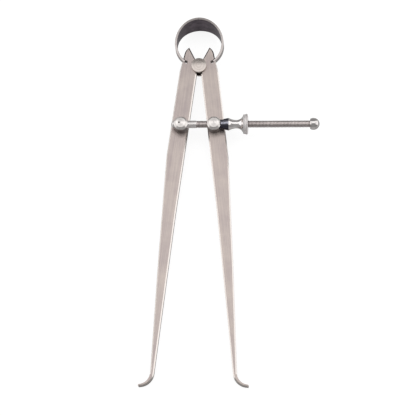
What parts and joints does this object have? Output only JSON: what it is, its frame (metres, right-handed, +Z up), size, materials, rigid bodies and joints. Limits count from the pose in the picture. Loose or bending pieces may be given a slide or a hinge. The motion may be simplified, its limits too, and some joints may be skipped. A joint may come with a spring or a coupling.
{
  "type": "inside spring caliper",
  "caption": "Flat-legged inside caliper with out-turned feet, a bow spring over a spooled fulcrum stud, and a nut on a cross screw that sets the opening.",
  "frame": {"origin": "on the fulcrum axis, at the flat back of the fulcrum stud's rear head", "axes": "the tool lies on its back: +Z up on the side of the studs, +Y to the bow, -Y to the feet, +X along the screw to its ball"},
  "size_m": [0.0798, 0.1732, 0.016],
  "materials": {
    "satin_steel": "satin, draw-filed along the legs",
    "spring_steel": "satin, tempered strip",
    "polished_steel": "turned and polished",
    "blued_steel": "heat blued, nearly black"
  },
  "bodies": {
    "bow": {"fulcrum_stud": "polished_steel", "bow_spring": "spring_steel"},
    "right_leg": {"right_leg": "satin_steel"},
    "left_leg": {"left_leg": "satin_steel"},
    "screw": {"left_swivel_stud": "polished_steel", "left_stud_washer": "satin_steel", "adjusting_screw": "polished_steel", "screw_pin": "satin_steel", "stop_ball": "polished_steel"},
    "right_swivel": {"right_swivel_stud": "polished_steel", "right_stud_washer": "satin_steel", "nut_ferrule": "blued_steel"},
    "nut": {"adjusting_nut": "polished_steel"}
  },
  "joints": [
    {"name": "right_leg_swing", "type": "hinge", "parent": "bow", "child": "right_leg", "pos_m": [0, 0, 0.00265], "axis": [0, 0, 1], "range_deg": [-6, 20.5], "deforming": ["bow_spring"]},
    {"name": "left_leg_swing", "type": "hinge", "parent": "bow", "child": "left_leg", "pos_m": [0, 0, 0.00265], "axis": [0, 0, 1], "range_deg": [-20.5, 6]},
    {"name": "left_stud_swivel", "type": "hinge", "parent": "left_leg", "child": "screw", "pos_m": [-0.00761, -0.03059, 0.00265], "axis": [0, 0, 1], "range_deg": [-6, 20.5]},
    {"name": "right_stud_swivel", "type": "hinge", "parent": "right_leg", "child": "right_swivel", "pos_m": [0.00761, -0.03059, 0.00265], "axis": [0, 0, 1], "range_deg": [-20.5, 6]},
    {"name": "nut_spin", "type": "hinge", "parent": "right_swivel", "child": "nut", "pos_m": [0.01436, -0.03059, 0.00735], "axis": [1, 0, 0], "range_deg": [-3467, 11822]}
  ],
  "couplings": [
    {"joint": "left_leg_swing", "follows": "right_leg_swing", "ratio": -1},
    {"joint": "left_stud_swivel", "follows": "right_leg_swing", "ratio": 1},
    {"joint": "right_stud_swivel", "follows": "right_leg_swing", "ratio": -1},
    {"joint": "nut_spin", "follows": "right_leg_swing", "ratio": 576.2}
  ]
}
